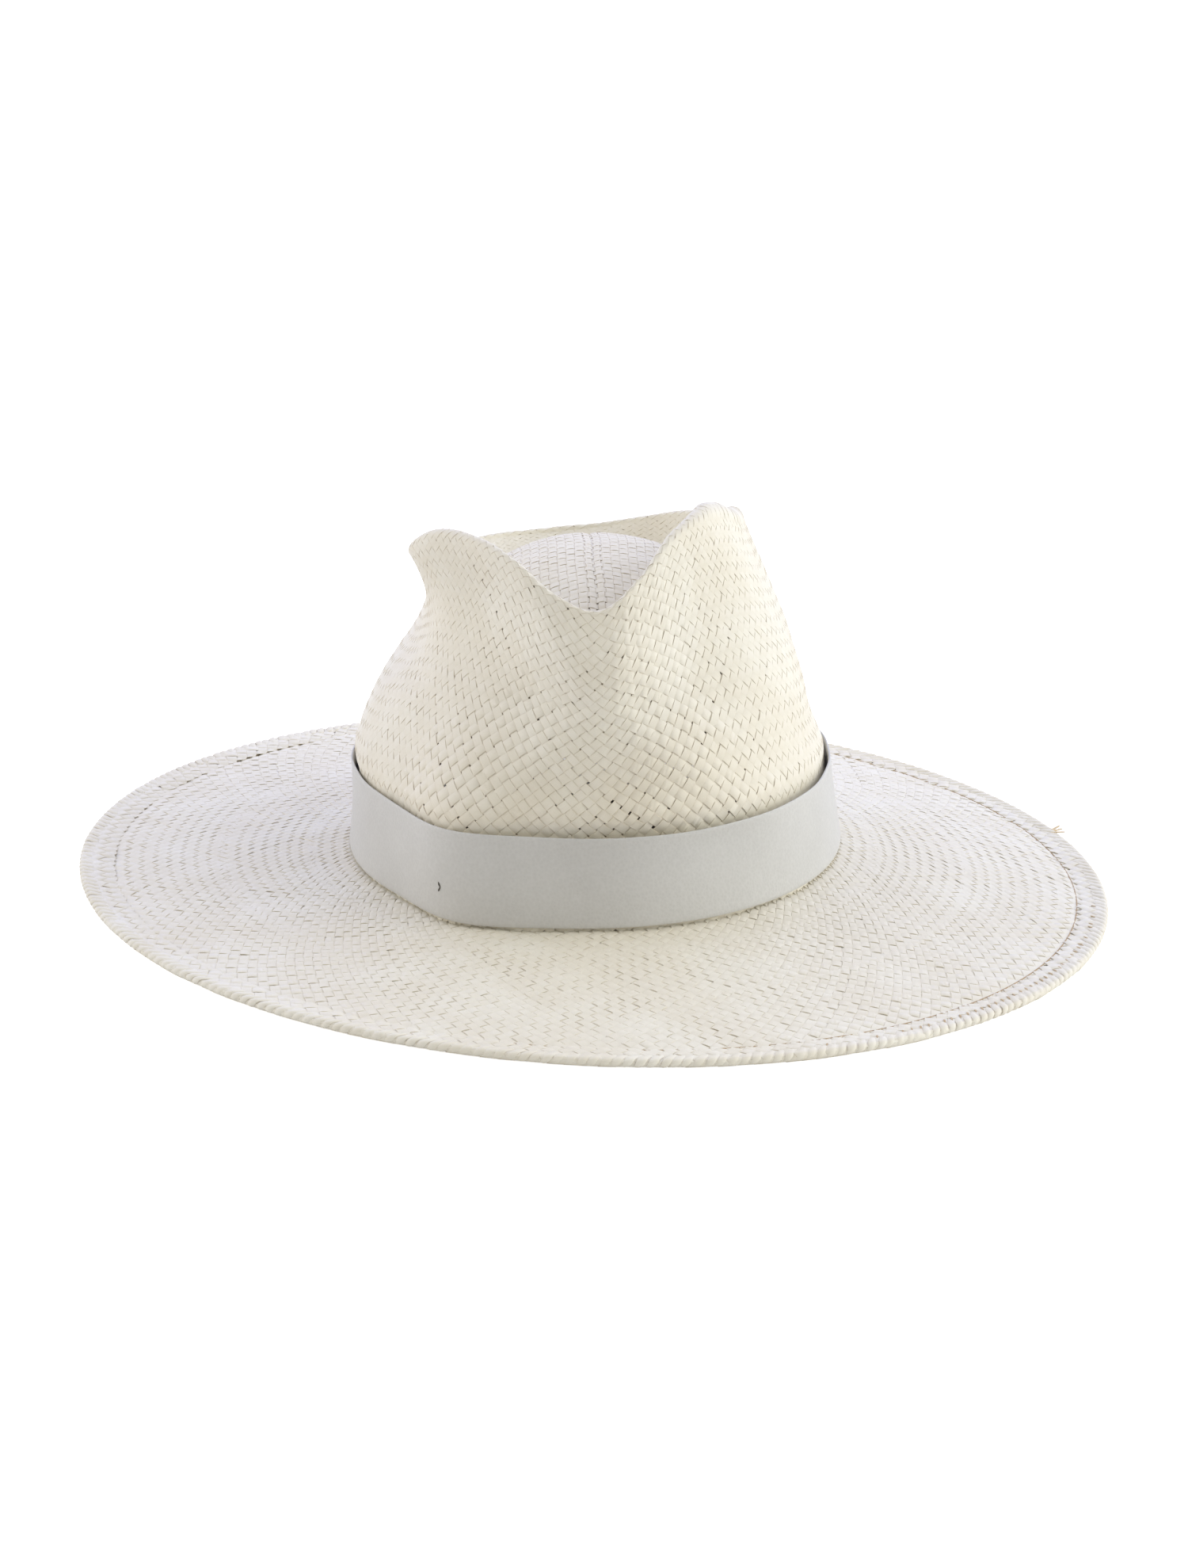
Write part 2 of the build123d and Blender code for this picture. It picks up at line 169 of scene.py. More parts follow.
# How far the top of the band stands off the straw at each angle
BAND_STAND_OFF = [(-180, 1.4), (-120, 0.5), (-60, 0.3), (-34, 0.8), (-15, 2.5), (10, 3.0), (40, 2.7),
                  (75, 1.3), (100, 0.9), (140, 1.2), (180, 1.4)]
JOIN_STITCH_HEIGHTS = (6.0, 12.0, 18.0, 24.0)
TACK_LEFT = (-32.0, 12.4)
TACK_BACK = (165.0, 16.0)
SWEAT_BOTTOM = 2.2
SWEAT_TOP = 32.2
SWEAT_LEATHER = 0.8
SWEAT_JOIN = 180
SWEAT_CLEARANCE = 0.5
# Thickness of the CAD model's straw body
BODY_THICKNESS = 1.2


def brim_half_sizes():
    """Half width and half length of the brim, in millimetres, from the CAD body."""
    low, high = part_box("straw_body")
    return (high.x - low.x) / 2 / MM, (high.y - low.y) / 2 / MM


BRIM_HALF_WIDTH, BRIM_HALF_LENGTH = brim_half_sizes()


# ---- Shape of the hat ----

def smooth_value(table, x):
    """Values at x on a smooth curve through the (x, value) pairs of the table."""
    knots, values = np.array(table, float).T
    slopes = np.empty_like(values)
    slopes[1:-1] = (values[2:] - values[:-2]) / (knots[2:] - knots[:-2])
    slopes[0] = (values[1] - values[0]) / (knots[1] - knots[0])
    slopes[-1] = (values[-1] - values[-2]) / (knots[-1] - knots[-2])
    x = np.clip(x, knots[0], knots[-1])
    i = np.clip(np.searchsorted(knots, x, side="right") - 1, 0, len(knots) - 2)
    span = knots[i + 1] - knots[i]
    t = (x - knots[i]) / span
    start = values[i] * (1 + 2 * t) * (1 - t) ** 2 + slopes[i] * span * t * (1 - t) ** 2
    end = values[i + 1] * t * t * (3 - 2 * t) + slopes[i + 1] * span * t * t * (t - 1)
    return start + end


def ease(x):
    """Smooth step from 0 to 1 as x goes from 0 to 1."""
    x = np.clip(x, 0, 1)
    return x * x * (3 - 2 * x)


def bump(x, centre, spread):
    """Bell curve of height 1."""
    return np.exp(-(((x - centre) / spread) ** 2))


def turned(angle, centre):
    """Angle from the centre, in -180 to 180."""
    return (angle - centre + 180) % 360 - 180


def rim_height(angle):
    """Height of the rim above the crown plane."""
    turn = [(a - 360, h) for a, h in RIM] + RIM + [(a + 360, h) for a, h in RIM]
    return smooth_value(turn, angle % 360)


def wall_radius(angle, height):
    """Distance from the crown's axis to the outside of its wall."""
    across, ahead = np.sin(np.radians(angle)), np.cos(np.radians(angle))
    side = np.where(across >= 0, smooth_value(REACH_RIGHT, height), smooth_value(REACH_LEFT, height))
    end = np.where(ahead >= 0, smooth_value(REACH_FRONT, height), smooth_value(REACH_BACK, height))
    radius = 1 / np.hypot(across / side, ahead / end)
    for centre, level, spread, rise, amount in FORMS:
        off = turned(angle, centre)
        radius = radius + amount * np.exp(-((off / spread) ** 2) / 2 - ((height - level) / rise) ** 2 / 2)
    return radius - pinch(angle, height)


def pinch(angle, height):
    """Depth of the two finger pinches, which leave a ridge above their apex and a facet below it."""
    total = 0.0
    above = np.clip(height - APEX_HEIGHT, 0, None)
    below = np.clip(APEX_HEIGHT - height, 0, None)
    for side, start, turn_above, turn_below, reach, depth in PINCHES:
        crease = start + turn_above * above + turn_below * below
        x = (side * turned(angle, 0) - crease) / reach
        x = (x + np.sqrt(x * x + CREASE_ROUNDING)) / 2
        total = total + depth * x * np.exp((1 - x * x) / 2 - ((height - PINCH_LEVEL) / PINCH_RISE) ** 2 / 2)
    return total


def in_hat(x, y, height):
    """Places in the hat's frame from places on the crown's plane."""
    return np.stack([
        x * cos(LEAN) - height * sin(LEAN),
        y + 0 * height,
        x * sin(LEAN) + height * cos(LEAN) + BASE_HEIGHT,
    ], axis=-1)


def round_crown(angle, radius, height):
    """Places in the hat's frame from an angle, a distance from the crown's axis and a height."""
    turn = np.radians(angle)
    return in_hat(radius * np.sin(turn), -radius * np.cos(turn), height)


def crown_sheet(angle, t):
    """Middle of the straw from the crown's foot (0) up the wall, over the lip and into the hollow (1)."""
    wall_end, lip_end = CROWN_SHARES
    angle, t = np.broadcast_arrays(angle, t)
    lip_radius = smooth_value(LIP_RADIUS, turned(angle, 0))
    crest = rim_height(angle) - lip_radius
    wall_height = crest * np.clip(t / wall_end, 0, 1)
    wall = wall_radius(angle, wall_height) - SHEET_INSET
    roll = pi * np.clip((t - wall_end) / (lip_end - wall_end), 0, 1)
    down = np.clip((t - lip_end) / (1 - lip_end), 0, 1)
    well_height = crest + (CHANNEL_HEIGHT - crest) * down
    inset = 2 * lip_radius + (WELL_SLOPE - 2 * lip_radius) * down
    well = wall_radius(angle, well_height) - SHEET_INSET - inset
    lip = wall - lip_radius * (1 - np.cos(roll))
    radius = np.where(t < wall_end, wall, np.where(t < lip_end, lip, well))
    height = np.where(t < lip_end, wall_height + lip_radius * np.sin(roll), well_height)
    return round_crown(angle, radius, height)


def dome_sheet(x, y):
    """Middle of the straw on the dome in the top of the crown, with its seam along x = 0."""
    angle = np.degrees(np.arctan2(x, -y))
    edge = wall_radius(angle, CHANNEL_HEIGHT) - SHEET_INSET - WELL_SLOPE
    share = np.hypot(x, y) / edge
    height = CHANNEL_HEIGHT + DOME_RISE * (1 - share ** DOME_POWER)
    height = height - SEAM_DEPTH * bump(x, 0, SEAM_SPREAD)
    return in_hat(x, y, height)


def oval(angle, inset):
    """Plan point on the brim's outline, moved in along its normal."""
    across, ahead = np.sin(np.radians(angle)), np.cos(np.radians(angle))
    normal = np.stack([BRIM_HALF_LENGTH * across, -BRIM_HALF_WIDTH * ahead], axis=-1)
    normal = normal / np.linalg.norm(normal, axis=-1, keepdims=True)
    outline = np.stack([BRIM_HALF_WIDTH * across, -BRIM_HALF_LENGTH * ahead], axis=-1)
    return outline - normal * np.asarray(inset)[..., None]


def brim_sheet(angle, s):
    """Middle of the straw from the crown's foot (0) out under the hem, round the edge and back in on top."""
    angle, s = np.broadcast_arrays(angle, s)
    half = (HEM_TOP - HEM_UNDER) / 2
    edge_inset = half + SHEET_INSET
    fold_length = pi * half
    foot = round_crown(angle, wall_radius(angle, 0 * s) - SHEET_INSET, 0 * s)
    out = np.clip(s / BRIM_REACH, 0, 1)
    edge = oval(angle, edge_inset + 0 * s)
    roll = np.clip((s - BRIM_REACH) / fold_length, 0, 1) * pi
    back = np.clip(s - BRIM_REACH - fold_length, 0, None)
    plan = foot[..., :2] + (edge - foot[..., :2]) * out[..., None]
    folded = oval(angle, edge_inset - half * np.sin(roll) + back)
    plan = np.where((s > BRIM_REACH)[..., None], folded, plan)
    slope = (1 - out) * (1 - BRIM_SAG * out)
    sunk = (BRIM_AT_HEM - HEM_UNDER) * (1 - ease((s - BRIM_REACH + HEM_WIDTH + SINK_LEAD) / HEM_WIDTH))
    low = HEM_UNDER + sunk
    height = low + (foot[..., 2] - low) * slope
    height = np.where(s > BRIM_REACH, HEM_UNDER + half * (1 - np.cos(roll)), height)
    return np.concatenate([plan, height[..., None]], axis=-1)


def unevenness(points):
    """Slow handmade waves of the straw at places in the hat's frame, in millimetres."""
    x, y, z = np.moveaxis(points, -1, 0) / 10
    waves = np.sin(1.7 * x + 0.9 * y + 1.3 * z) + np.sin(2.3 * y - 1.1 * x + 2.0 * z + 1)
    waves = waves + np.sin(3.1 * z + 1.9 * x - 0.7 * y + 2) + 0.7 * np.sin(4.3 * x + 3.7 * y + 0.5)
    return UNEVENNESS * waves


# ---- Meshes ----

def make_piece(name, points, faces, material, replaced=(), strip=None, crease=40):
    """Object from points in millimetres and faces, riding on the hat's one body."""
    mesh = bpy.data.meshes.new(name)
    mesh.from_pydata(np.asarray(points) * MM, [], faces)
    if strip is not None:
        layer = mesh.attributes.new("strip", "FLOAT_VECTOR", "POINT")
        layer.data.foreach_set("vector", np.asarray(strip, np.float32).ravel())
    mesh.materials.append(material)
    mesh.shade_smooth()
    mesh.set_sharp_from_angle(angle=radians(crease))
    piece = bpy.data.objects.new(name, mesh)
    bpy.context.scene.collection.objects.link(piece)
    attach(piece, "root")
    if replaced:
        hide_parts(*replaced)
    return piece


def ring_faces(runs, stations, ring, closed=False):
    """Quads between the rings of points along each run, with its ends capped unless it closes on itself."""
    index = np.arange(runs * stations * ring).reshape(runs, stations, ring)
    ahead = np.roll(index, -1, axis=1) if closed else index[:, 1:]
    here = index if closed else index[:, :-1]
    around, ahead_around = np.roll(here, -1, axis=2), np.roll(ahead, -1, axis=2)
    faces = np.stack([here, around, ahead_around, ahead], axis=-1).reshape(-1, 4).tolist()
    if not closed:
        faces += index[:, 0, ::-1].tolist()
        faces += index[:, -1].tolist()
    return faces


def unit(vectors):
    """Vectors scaled to length 1."""
    return vectors / np.maximum(np.linalg.norm(vectors, axis=-1, keepdims=True), 1e-9)


# Cross sections of a flat straw and of a rounded one, as shares of the half width and half thickness
LENS = np.array([(-1, 0), (-0.91, 1), (0.91, 1), (1, 0), (0.91, -1), (-0.91, -1)])
ROUND = np.array([(-1, -0.2), (-0.62, 0.72), (0, 1), (0.62, 0.72), (1, -0.2), (0, -1)])


def strip_points(middle, across, normal, half_thickness, section=LENS):
    """Rings of six points round strips along the middle lines; across reaches from the middle to an edge."""
    above = half_thickness * section[:, 1:] * normal[..., None, :]
    return middle[..., None, :] + section[:, :1] * across[..., None, :] + above


def beside(middle, normal):
    """Directions square across the middle lines."""
    return unit(np.cross(unit(np.gradient(middle, axis=1)), normal))


def strip_marks(middle, tint, section=LENS):
    """For each ring point: place across the strip, distance along it and the straw's own tint."""
    step = np.linalg.norm(np.diff(middle, axis=1), axis=-1)
    along = np.concatenate([np.zeros((len(middle), 1)), np.cumsum(step, axis=1)], axis=1)
    along = along + rng.uniform(0, 500, (len(middle), 1))
    shape = middle.shape[:2] + (len(section),)
    marks = (section[:, 0], along[..., None], tint[..., None])
    return np.stack([np.broadcast_to(mark, shape) for mark in marks], axis=-1)


def row_places(sheet, straws, first, last):
    """Where each half row of crossings lies on the sheet, spaced so that the straws cross squarely."""
    t = np.linspace(first, last, 300)
    angle = np.arange(0, 360, 6)[:, None]
    points = sheet(angle, t[None, :])
    steps = np.linalg.norm(np.diff(points, axis=1), axis=-1).mean(axis=0)
    girth = np.linalg.norm(points - np.roll(points, 1, axis=0), axis=-1).sum(axis=0)
    rows = np.concatenate([[0], np.cumsum(steps * straws / ((girth[1:] + girth[:-1]) / 2))])
    count = max(2, round(rows[-1] * 2)) / 2
    m = np.arange(0, count + 1e-6, 1 / STATIONS_PER_ROW)
    return m, np.interp(m, rows * count / rows[-1], t)


def openness(angle, t):
    """How far the pinch stretches the crown's weave open: 1 low at the front, 0 at the sides and back."""
    return bump(turned(angle, 3), 0, 42) * (1 - 0.4 * ease((t - 0.3) / 0.3))


def crown_lift(angle, t):
    """How far a straw of the crown rises over those that it crosses."""
    lift = CROWN_LIFT + CROWN_OPEN_LIFT * openness(angle, t)
    return lift * (1 - 0.5 * bump(t, LIP_PLACE, LIP_SPREAD))


def crown_width(angle, t):
    """Width of a straw of the crown, as a share of its spacing."""
    return CROWN_WIDTH - CROWN_OPENING * openness(angle, t)


def brim_lift(angle, s):
    """How far a straw of the brim rises over those that it crosses, less where it folds round the edge."""
    return BRIM_LIFT * (1 - 0.6 * bump(s, FOLD_PLACE, FOLD_SPREAD))


def brim_width(angle, s):
    """Width of a straw of the brim, as a share of its spacing, wider where it folds round the edge."""
    return BRIM_WIDTH + 0.16 * bump(s, FOLD_PLACE, FOLD_SPREAD)


def sheet_frame(sheet, angle, place, first, last):
    """One degree's step round the sheet and the direction square to it, at places between first and last."""
    step = 0.004 * (last - first)
    around = sheet(angle + 0.5, place) - sheet(angle - 0.5, place)
    inside = sheet(angle, np.clip(place - step, first, last))
    outside = sheet(angle, np.clip(place + step, first, last))
    return around, unit(np.cross(around, outside - inside))


def straw_angles(straws, turn, m, t):
    """Angle of each straw of a family along its way; straws made by hand are a little uneven."""
    start = np.arange(straws)[:, None] + rng.normal(0, SPACING_JITTER, (straws, 1))
    angle = 360 / straws * (start + turn * m[None, :])
    sway = 0.25 * np.sin(np.radians(3 * angle) + 2)
    return angle + sway + 0.12 * np.sin(np.radians(11 * angle) + t / 9)


def to_edges(level, middle, normal, bend):
    """From middle lines to the straws' edges: square across them, but along level as bend goes to 1."""
    square = beside(middle, normal)
    square = square * np.sum(level * square, axis=-1, keepdims=True)
    return square + (level - square) * bend


def weave(name, sheet, straws, first, last, rise, width, fold, material, parts=1, tucks=(0.0, 0.0)):
    """Two families of straws that cross over a ring-shaped sheet, each family made in that many parts.

    rise and width give the height of a straw's waves and its width at a place. fold is (place, spread,
    share): there the sheet folds tightly, and the straws' edges follow it rather than stand square. tucks
    move the first and the last row against the sheet's normal, under the sheets that they join.
    """
    m, t = row_places(sheet, straws, first, last)
    tuck = tucks[0] * np.clip(1 - m, 0, 1) ** 3 + tucks[1] * np.clip(1 - m[-1] + m, 0, 1) ** 3
    wave = np.clip(1.3 * np.cos(2 * pi * m), -1, 1)
    from_end = np.minimum(np.arange(len(m)), np.arange(len(m))[::-1])
    taper = np.interp(from_end, [0, 1, 2], [0.5, 0.85, 1.0])
    for family, turn in (("a", -1), ("b", 1)):
        angle = straw_angles(straws, turn, m, t)
        place = np.broadcast_to(t[None, :], angle.shape)
        middle = sheet(angle, place)
        around, normal = sheet_frame(sheet, angle, place, first, last)
        lift = unevenness(middle) - turn * rise(angle, place) * wave - tuck
        middle = middle + normal * lift[..., None]
        share = 180 / straws * width(angle, place) * taper * (1 + rng.normal(0, WIDTH_JITTER, (straws, 1)))
        bend = (fold[2] * bump(place, fold[0], fold[1]))[..., None]
        across = to_edges(around * share[..., None], middle, normal, bend)
        points = strip_points(middle, across, normal, STRAW_HALF_THICKNESS)
        tint = np.broadcast_to(rng.beta(TINT_SPREAD, TINT_SPREAD, (straws, 1)), middle.shape[:2])
        marks = strip_marks(middle, tint)
        for part, here in enumerate(np.array_split(np.arange(straws), parts)):
            faces = ring_faces(len(here), len(m), len(LENS))
            make_piece(f"{name}_{family}{part + 1}", points[here].reshape(-1, 3), faces, material,
                       ["straw_body"], marks[here].reshape(-1, 3))


def dome_straw(across, crosswise):
    """Middle line of one straw on the dome, the directions square to the dome and the places along it."""
    fine = DOME_PITCH / 4
    along = np.arange(-DOME_REACH, DOME_REACH + fine, fine)
    x, y = (along, across + 0 * along) if crosswise else (across + 0 * along, along)
    x = x + 0.25 * np.sin(y / 9) * (not crosswise)
    angle = np.degrees(np.arctan2(x, -y))
    edge = wall_radius(angle, CHANNEL_HEIGHT + 0 * x) - SHEET_INSET - WELL_SLOPE
    inside = np.hypot(x, y) < edge * DOME_OVERHANG
    x, y = x[inside], y[inside]
    normal = unit(np.cross(dome_sheet(x + 0.5, y) - dome_sheet(x - 0.5, y),
                           dome_sheet(x, y + 0.5) - dome_sheet(x, y - 0.5)))
    return dome_sheet(x, y), normal, along[inside]


def weave_dome():
    """Square weave over the dome, its straws along and across the hat."""
    for family, crosswise in (("a", True), ("b", False)):
        all_points, all_marks, faces, count = [], [], [], 0
        for number in range(-DOME_ROWS, DOME_ROWS):
            across = (number + 0.5) * DOME_PITCH
            middle, normal, run = dome_straw(across, crosswise)
            if len(run) < FEWEST_STATIONS:
                continue
            phase = 1 if (number % 2 == 1) == crosswise else -1
            wave = np.clip(1.5 * np.cos(pi * (run / DOME_PITCH - 0.5)), -1, 1)
            middle = middle + normal * (phase * DOME_LIFT * wave + unevenness(middle))[:, None]
            seam = SEAM_WIDTH if (not crosswise and abs(across) < DOME_PITCH) else 1.0
            half = np.full(len(run), DOME_PITCH / 2 * DOME_WIDTH * seam) * (1 + rng.normal(0, 0.02))
            across_straw = beside(middle[None], normal[None]) * half[None, :, None]
            points = strip_points(middle[None], across_straw, normal[None], STRAW_HALF_THICKNESS)
            tint = np.full((1, len(run)), rng.beta(TINT_SPREAD, TINT_SPREAD))
            all_points.append(points.reshape(-1, 3))
            all_marks.append(strip_marks(middle[None], tint).reshape(-1, 3))
            faces += [[v + count for v in face] for face in ring_faces(1, len(run), len(LENS))]
            count += len(run) * len(LENS)
        make_piece(f"dome_straws_{family}", np.concatenate(all_points), faces, CROWN_STRAW,
                   ["straw_body"], np.concatenate(all_marks))


def plait_edge():
    """Rope-like border: short rounded straws laid slantwise round the brim's edge, both ends tucked in."""
    share = np.linspace(0, 1, 13)[None, :]
    start = np.arange(EDGE_STRAWS)[:, None] + rng.normal(0, 0.07, (EDGE_STRAWS, 1))
    angle = 360 / EDGE_STRAWS * (start + EDGE_TURN * share)
    first, last = BRIM_REACH + EDGE_REACH[0], BRIM_REACH + EDGE_REACH[1]
    place = first + (last - first) * share + 0 * angle
    middle = brim_sheet(angle, place)
    around, normal = sheet_frame(brim_sheet, angle, place, 0, last)
    lift = EDGE_RISE * np.sin(pi * share) ** 0.6 - EDGE_SUNK + rng.normal(0, 0.04, (EDGE_STRAWS, 1))
    middle = middle + normal * lift[..., None]
    swell = 0.72 + 0.20 * np.sin(pi * share)
    half_width = 0.5 * 360 / EDGE_STRAWS * swell * (1 + rng.normal(0, 0.04, start.shape))
    points = strip_points(middle, around * half_width[..., None], normal, EDGE_HALF_THICKNESS, ROUND)
    tint = np.broadcast_to(rng.beta(TINT_SPREAD, TINT_SPREAD, start.shape), middle.shape[:2])
    marks = strip_marks(middle, tint, ROUND)
    faces = ring_faces(EDGE_STRAWS, share.size, len(ROUND))
    make_piece("brim_edge_straws", points.reshape(-1, 3), faces, EDGE_STRAW, ["straw_body"],
               marks.reshape(-1, 3))


def loose_end():
    """Frayed end of a straw that sticks out of the hem at the back right."""
    share = np.linspace(0, 1, 7)
    middles = []
    for fan in (-0.55, 0.0, 0.5):
        plan = oval(LOOSE_END + fan * (0.4 + share), 2.5 - 4.6 * share)
        middles.append(np.column_stack([plan, 2.9 + (0.9 + 0.7 * fan) * share]))
    middle = np.array(middles)
    up = np.broadcast_to(UP, middle.shape)
    across = beside(middle, up) * (0.75 - 0.35 * share)[None, :, None]
    points = strip_points(middle, across, up, 0.16)
    marks = strip_marks(middle, np.zeros(middle.shape[:2]))
    faces = ring_faces(len(middle), share.size, len(LENS))
    make_piece("loose_straw_end", points.reshape(-1, 3), faces, AGED_STRAW, ["straw_body"],
               marks.reshape(-1, 3))


# ---- Materials ----

def node_adder(tree):
    """Function that adds a node to the tree and sets or links its inputs."""
    def add(kind, inputs=None, **settings):
        node = tree.nodes.new(kind)
        for key, value in settings.items():
            setattr(node, key, value)
        for key, value in (inputs or {}).items():
            if isinstance(value, bpy.types.NodeSocket):
                tree.links.new(value, node.inputs[key])
            else:
                node.inputs[key].default_value = value
        return node

    return add


def node_material(name):
    """New material with its Principled shader, its links and a function that adds nodes."""
    material = bpy.data.materials.new(name)
    material.use_nodes = True
    tree = material.node_tree
    return material, tree.nodes["Principled BSDF"], node_adder(tree), tree.links


def maths(add, operation, first, second=0.0, third=0.0):
    """Output of a Math node."""
    return add("ShaderNodeMath", {0: first, 1: second, 2: third}, operation=operation).outputs[0]


def colour_mix(add, share, first, second):
    """Mix of two colours, each a socket or four numbers."""
    return add("ShaderNodeMix", {0: share, 6: first, 7: second}, data_type="RGBA").outputs[2]


STRAW_DARK = (0.770, 0.720, 0.590, 1)
STRAW_LIGHT = (0.850, 0.815, 0.715, 1)
# Brown of aged patches, also used as painted shade low on the crown's front
STRAW_AGED_AND_SHADE = (0.640, 0.545, 0.380, 1)
# Brown of the straws' edges, which also serves as painted shade in the joints between them
STRAW_EDGE_BROWN_AND_SHADE = (0.52, 0.43, 0.30, 1)
# Share of a straw's half width where its darker edge starts: partly browner straw, partly painted shade of
# the joints
EDGE_DARKENING_START = 0.84


def aged_and_shaded_share(add, foot_shade):
    """How far the straw is browned: by age in faint patches, and low on the crown's front by painted warm
    shade.
    """
    place = add("ShaderNodeTexCoord").outputs["Object"]
    patches = add("ShaderNodeTexNoise", {"Vector": place, "Scale": 28.0, "Detail": 3.0})
    patchy = maths(add, "MULTIPLY", maths(add, "SUBTRACT", patches.outputs[0], 0.42), 1.1)
    patchy = add("ShaderNodeClamp", {"Value": patchy, "Min": 0.0, "Max": 0.15}).outputs[0]
    # Painted shade: browner and darker low on the crown's front, where less light falls
    sides = add("ShaderNodeSeparateXYZ", {0: place})
    front = add("ShaderNodeMapRange", {"Value": sides.outputs["Y"], 1: -0.060, 2: -0.095})
    low = add("ShaderNodeMapRange", {"Value": sides.outputs["Z"], 1: 0.110, 2: 0.060})
    foot = maths(add, "MULTIPLY", front.outputs[0], low.outputs[0])
    return maths(add, "ADD", patchy, maths(add, "MULTIPLY", foot, foot_shade))


def straw_colour(add, across, tint, streaks, edge_brown_and_shade, foot_shade):
    """Streaked ivory in the straw's tint, aged in patches, with painted shade low on the crown's front and
    at the brown edges.
    """
    own_tone = maths(add, "MULTIPLY", tint, 0.40)
    tone = maths(add, "ADD", own_tone, maths(add, "MULTIPLY", streaks, 0.60))
    base = colour_mix(add, tone, STRAW_DARK, STRAW_LIGHT)
    base = colour_mix(add, aged_and_shaded_share(add, foot_shade), base, STRAW_AGED_AND_SHADE)
    # Painted shade: each straw darkens towards its edges, partly its real browning, partly the shade of the
    # joints
    rim = maths(add, "SUBTRACT", maths(add, "ABSOLUTE", across), EDGE_DARKENING_START)
    rim = maths(add, "MULTIPLY", maths(add, "MAXIMUM", rim, 0.0), edge_brown_and_shade)
    return colour_mix(add, rim, base, STRAW_EDGE_BROWN_AND_SHADE)


def straw_material(name, edge_brown_and_shade, foot_shade=0.0):
    """Toquilla straw: ivory, each straw its own tint, fine streaks along it, and brown edges carrying
    painted shade.
    """
    material, shader, add, links = node_material(name)
    strip = add("ShaderNodeAttribute", attribute_name="strip")
    across, along, tint = add("ShaderNodeSeparateXYZ", {0: strip.outputs["Vector"]}).outputs
    streak_place = add("ShaderNodeCombineXYZ", {0: maths(add, "MULTIPLY", across, 3.0),
                                               1: maths(add, "MULTIPLY", along, 0.12),
                                               2: maths(add, "MULTIPLY", tint, 40.0)})
    noise = add("ShaderNodeTexNoise", {"Vector": streak_place.outputs[0], "Scale": 1.6, "Detail": 4.0})
    streaks = noise.outputs[0]
    base = straw_colour(add, across, tint, streaks, edge_brown_and_shade, foot_shade)
    links.new(base, shader.inputs["Base Color"])
    links.new(maths(add, "MULTIPLY_ADD", streaks, 0.25, 0.40), shader.inputs["Roughness"])
    shader.inputs["Specular IOR Level"].default_value = 0.45
    bumps = add("ShaderNodeBump", {"Strength": 0.35, "Distance": 0.0001, "Height": streaks})
    links.new(bumps.outputs[0], shader.inputs["Normal"])
    return material


def leather_material(name, dark, light, grain=900.0):
    """Soft leather with a fine pebbled grain and slow changes of tone."""
    material, shader, add, links = node_material(name)
    place = add("ShaderNodeTexCoord").outputs["Object"]
    pebbles = add("ShaderNodeTexVoronoi", {"Vector": place, "Scale": grain})
    fine = add("ShaderNodeTexNoise", {"Vector": place, "Scale": grain * 1.7, "Detail": 3.0})
    slow = add("ShaderNodeTexNoise", {"Vector": place, "Scale": 26.0, "Detail": 4.0})
    fine_height = maths(add, "MULTIPLY", fine.outputs[0], 0.6)
    height = maths(add, "ADD", pebbles.outputs["Distance"], fine_height)
    slow_tone = maths(add, "MULTIPLY", slow.outputs[0], 0.75)
    tone = maths(add, "ADD", slow_tone, maths(add, "MULTIPLY", height, 0.25))
    base = colour_mix(add, tone, dark, light)
    links.new(base, shader.inputs["Base Color"])
    links.new(maths(add, "MULTIPLY_ADD", slow.outputs[0], 0.2, 0.42), shader.inputs["Roughness"])
    bumps = add("ShaderNodeBump", {"Strength": 0.45, "Distance": 0.00012, "Height": height})
    links.new(bumps.outputs[0], shader.inputs["Normal"])
    return material


def fibre_material(name, colour, roughness=0.8, grain=2600.0, metallic=0.0):
    """Thread, cloth, reed or wire: one colour broken up by a fine grain."""
    material, shader, add, links = node_material(name)
    place = add("ShaderNodeTexCoord").outputs["Object"]
    grains = add("ShaderNodeTexNoise", {"Vector": place, "Scale": grain, "Detail": 3.0})
    dark = tuple(0.72 * c for c in colour) + (1,)
    light = tuple(min(1.0, 1.25 * c) for c in colour) + (1,)
    base = colour_mix(add, grains.outputs[0], dark, light)
    links.new(base, shader.inputs["Base Color"])
    shader.inputs["Roughness"].default_value = roughness
    shader.inputs["Metallic"].default_value = metallic
    bumps = add("ShaderNodeBump", {"Strength": 0.4, "Distance": 0.00008, "Height": grains.outputs[0]})
    links.new(bumps.outputs[0], shader.inputs["Normal"])
    return material


# The second number sets how far each straw's edges darken: partly brown, partly painted shade in the joints
CROWN_STRAW = straw_material("toquilla_straw_crown", 4.2, foot_shade=0.16)
BRIM_STRAW = straw_material("toquilla_straw_brim", 2.1)
EDGE_STRAW = straw_material("toquilla_straw_edge", 4.5)
AGED_STRAW = fibre_material("aged_straw", (0.74, 0.60, 0.38), 0.6)
BAND = leather_material("band_leather", (0.475, 0.465, 0.435, 1), (0.665, 0.655, 0.625, 1))
SWEAT = leather_material("sweatband_leather", (0.50, 0.38, 0.25, 1), (0.68, 0.56, 0.41, 1), 700.0)
BROWN_THREAD_AND_STEP_SHADE = fibre_material("brown_thread_and_step_shade", (0.46, 0.34, 0.21))
GAP_SHADE_BROWN = fibre_material("painted_gap_shade", (0.56, 0.43, 0.28))
DARK_THREAD = fibre_material("dark_thread", (0.12, 0.11, 0.09))
PALE_THREAD = fibre_material("pale_thread", (0.62, 0.57, 0.47))
